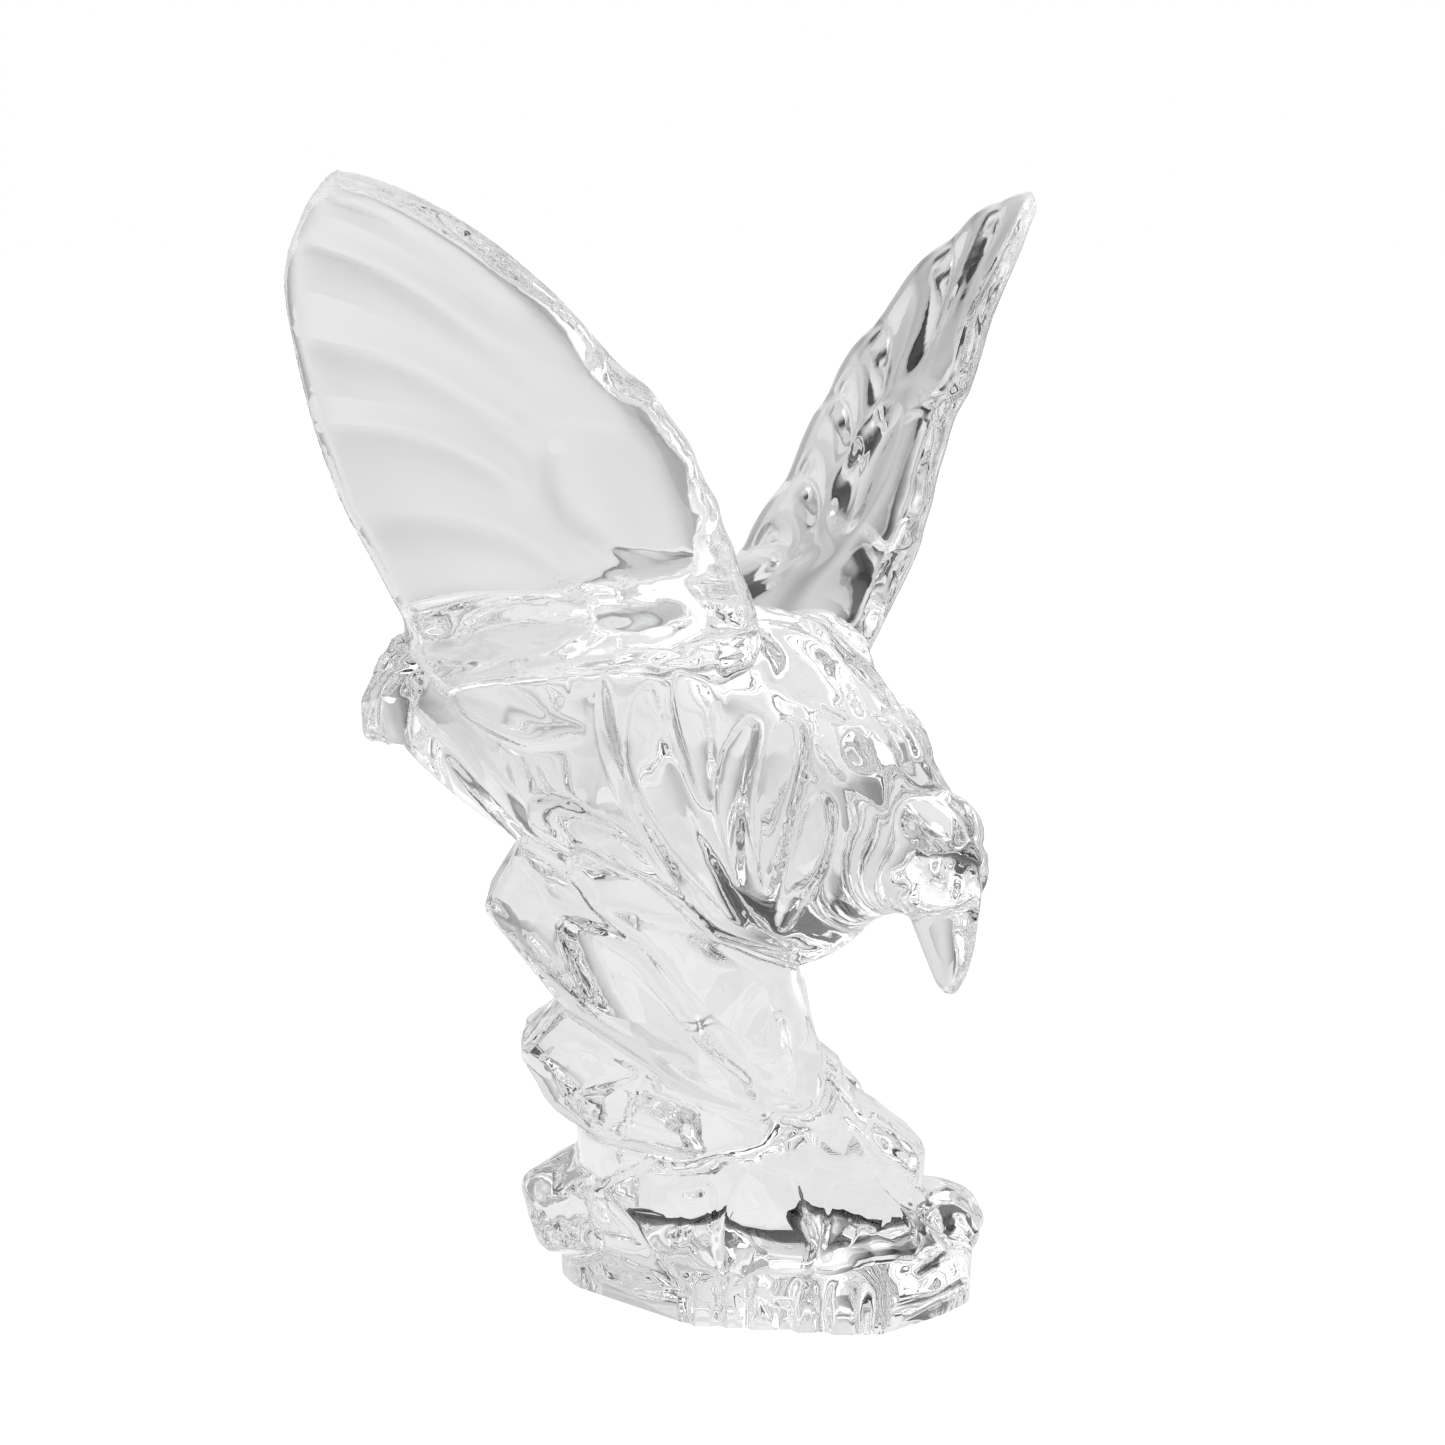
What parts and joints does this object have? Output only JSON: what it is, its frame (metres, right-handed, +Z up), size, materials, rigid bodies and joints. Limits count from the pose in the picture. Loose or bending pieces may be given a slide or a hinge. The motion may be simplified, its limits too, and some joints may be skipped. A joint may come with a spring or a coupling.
{
  "type": "eagle figurine",
  "caption": "Clear crystal eagle landing on a faceted rock plinth, wings raised in a V and head bent down, cast with the rock as one solid piece that stands on its flat ground underside.",
  "frame": {"origin": "middle of the flat ground underside of the rock, on the surface that the figurine stands on", "axes": "+Z up; the eagle faces -Y, its left wing is on +X and its tail on +Y; the rock's ledges run at 45 degrees between +X and -Y"},
  "size_m": [0.211, 0.1802, 0.247],
  "materials": {
    "clear_crystal": "fire-polished, clear and colourless"
  },
  "bodies": {
    "root": {"crystal_eagle": "clear_crystal"}
  },
  "joints": []
}
